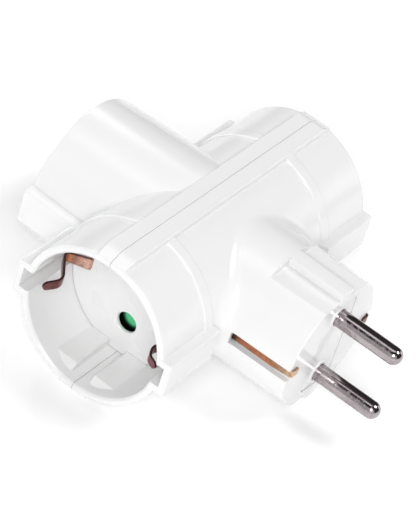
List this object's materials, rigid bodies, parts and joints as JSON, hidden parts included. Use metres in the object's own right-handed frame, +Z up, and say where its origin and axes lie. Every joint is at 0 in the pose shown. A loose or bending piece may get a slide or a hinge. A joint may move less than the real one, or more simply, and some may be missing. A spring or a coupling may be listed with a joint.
{
  "type": "multi socket adapter",
  "caption": "Cross-shaped earthed socket adapter: a two-pin plug on one side, round recessed sockets at both tube ends and opposite the plug, with pivoting pin-hole shutters.",
  "frame": {"origin": "middle of the plug's contact face, halfway between its two pins", "axes": "-Y out along the plug's pins, +Z up along the line that joins the pins, +X to the right seen from the plug"},
  "size_m": [0.088, 0.1006, 0.046],
  "materials": {
    "shell_white": "glossy moulded, white",
    "floor_white": "glossy moulded, white",
    "shutter_green": "moulded, green",
    "keeper_black": "moulded, plain",
    "earth_copper": "tarnished copper-coloured strip",
    "contact_brass": "stamped brass",
    "pin_nickel": "nickel-plated, worn",
    "spring_steel": "bright wire",
    "screw_steel": "zinc-plated"
  },
  "bodies": {
    "housing": {"front_housing": "shell_white", "rear_housing": "shell_white", "right_socket_floor": "floor_white", "right_shutter_keeper": "keeper_black", "right_shutter_spring": "spring_steel", "right_earth_contact_1": "earth_copper", "right_earth_contact_2": "earth_copper", "right_line_contact": "contact_brass", "right_neutral_contact": "contact_brass", "rear_socket_floor": "floor_white", "rear_shutter_keeper": "keeper_black", "rear_shutter_spring": "spring_steel", "rear_earth_contact_1": "earth_copper", "rear_earth_contact_2": "earth_copper", "rear_line_contact": "contact_brass", "rear_neutral_contact": "contact_brass", "left_socket_floor": "floor_white", "left_shutter_keeper": "keeper_black", "left_shutter_spring": "spring_steel", "left_earth_contact_1": "earth_copper", "left_earth_contact_2": "earth_copper", "left_line_contact": "contact_brass", "left_neutral_contact": "contact_brass", "contact_rivets": "contact_brass", "line_busbar": "contact_brass", "neutral_busbar": "contact_brass", "line_pin": "pin_nickel", "neutral_pin": "pin_nickel", "pin_carrier": "floor_white", "right_plug_earth_clip": "earth_copper", "left_plug_earth_clip": "earth_copper", "earth_plate": "contact_brass", "housing_screw": "screw_steel"},
    "right_shutter": {"right_shutter": "shutter_green"},
    "rear_shutter": {"rear_shutter": "shutter_green"},
    "left_shutter": {"left_shutter": "shutter_green"}
  },
  "joints": [
    {"name": "right_shutter_turn", "type": "hinge", "parent": "housing", "child": "right_shutter", "pos_m": [0.023, 0.0422, 0], "axis": [1, 0, 0], "range_deg": [0, 40], "stiffness_Nm_per_rad": 0.002, "springref_deg": -17.19},
    {"name": "rear_shutter_turn", "type": "hinge", "parent": "housing", "child": "rear_shutter", "pos_m": [0, 0.0606, 0], "axis": [0, 1, 0], "range_deg": [0, 40], "stiffness_Nm_per_rad": 0.002, "springref_deg": -17.19},
    {"name": "left_shutter_turn", "type": "hinge", "parent": "housing", "child": "left_shutter", "pos_m": [-0.023, 0.0422, 0], "axis": [-1, 0, 0], "range_deg": [0, 40], "stiffness_Nm_per_rad": 0.002, "springref_deg": -17.19}
  ]
}
